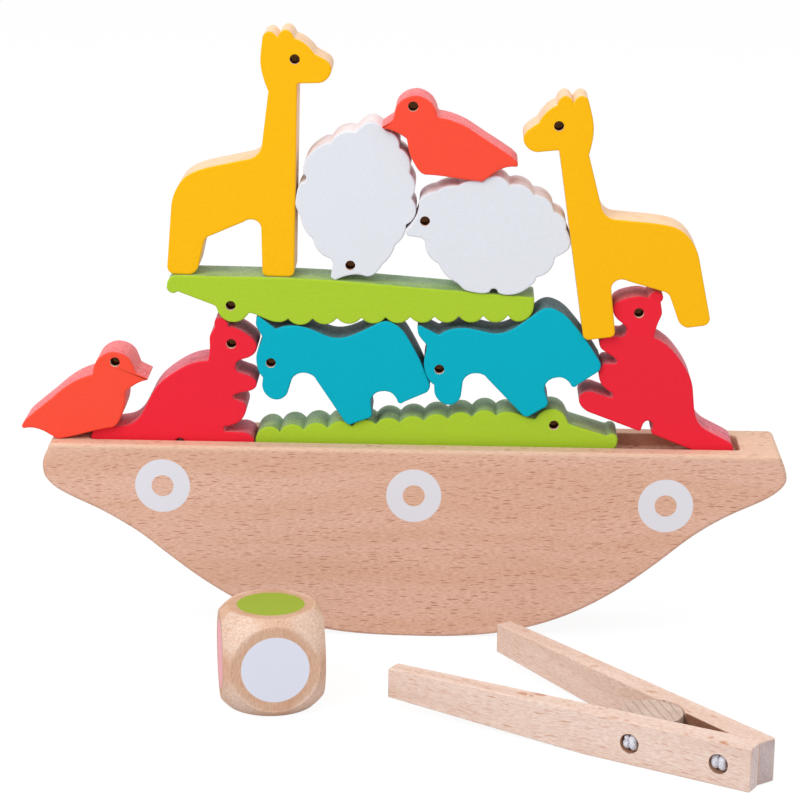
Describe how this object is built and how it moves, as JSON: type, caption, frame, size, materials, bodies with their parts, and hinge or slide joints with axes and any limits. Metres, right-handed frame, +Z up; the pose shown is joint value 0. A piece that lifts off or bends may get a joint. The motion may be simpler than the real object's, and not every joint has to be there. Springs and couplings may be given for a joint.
{
  "type": "stacking balance game",
  "caption": "Wooden stacking balance game: a rocking boat with a groove in its deck, flat painted animals stacked on it, a colour die and sprung tongs.",
  "frame": {"origin": "middle of the boat's keel line, where it touches the table", "axes": "+X along the boat to the right, +Y away from the viewer across the boat, +Z up"},
  "size_m": [0.2781, 0.1712, 0.2219],
  "materials": {
    "beech": "bare sanded beech",
    "paint_yellow": "yellow paint on wood",
    "paint_orange": "orange-red paint on wood",
    "paint_white": "white paint on wood",
    "paint_green": "lime green paint on wood",
    "paint_teal": "teal paint on wood",
    "paint_red": "red paint on wood",
    "elastic_white": "white braided elastic"
  },
  "bodies": {
    "game": {"boat_hull": "beech", "giraffe_left": "paint_yellow", "giraffe_right": "paint_yellow", "sheep_left": "paint_white", "sheep_right": "paint_white", "bird_left": "paint_orange", "bird_top": "paint_orange", "crocodile_lower": "paint_green", "crocodile_upper": "paint_green", "donkey_left": "paint_teal", "donkey_right": "paint_teal", "kangaroo_left": "paint_red", "kangaroo_right": "paint_red", "colour_die": "beech", "tongs_front_arm": "beech", "tongs_fulcrum_block": "beech", "tongs_elastic_back": "elastic_white", "tongs_elastic_pivot": "elastic_white"},
    "tongs_moving_arm": {"tongs_rear_arm": "beech"}
  },
  "joints": [
    {"name": "tongs_pivot", "type": "hinge", "parent": "game", "child": "tongs_moving_arm", "pos_m": [0.0812, -0.12195, 0.0075], "axis": [0, 0, 1], "range_deg": [0, 33], "stiffness_Nm_per_rad": 0.03, "springref_deg": -8.59, "deforming": ["tongs_elastic_back", "tongs_elastic_pivot"]}
  ]
}
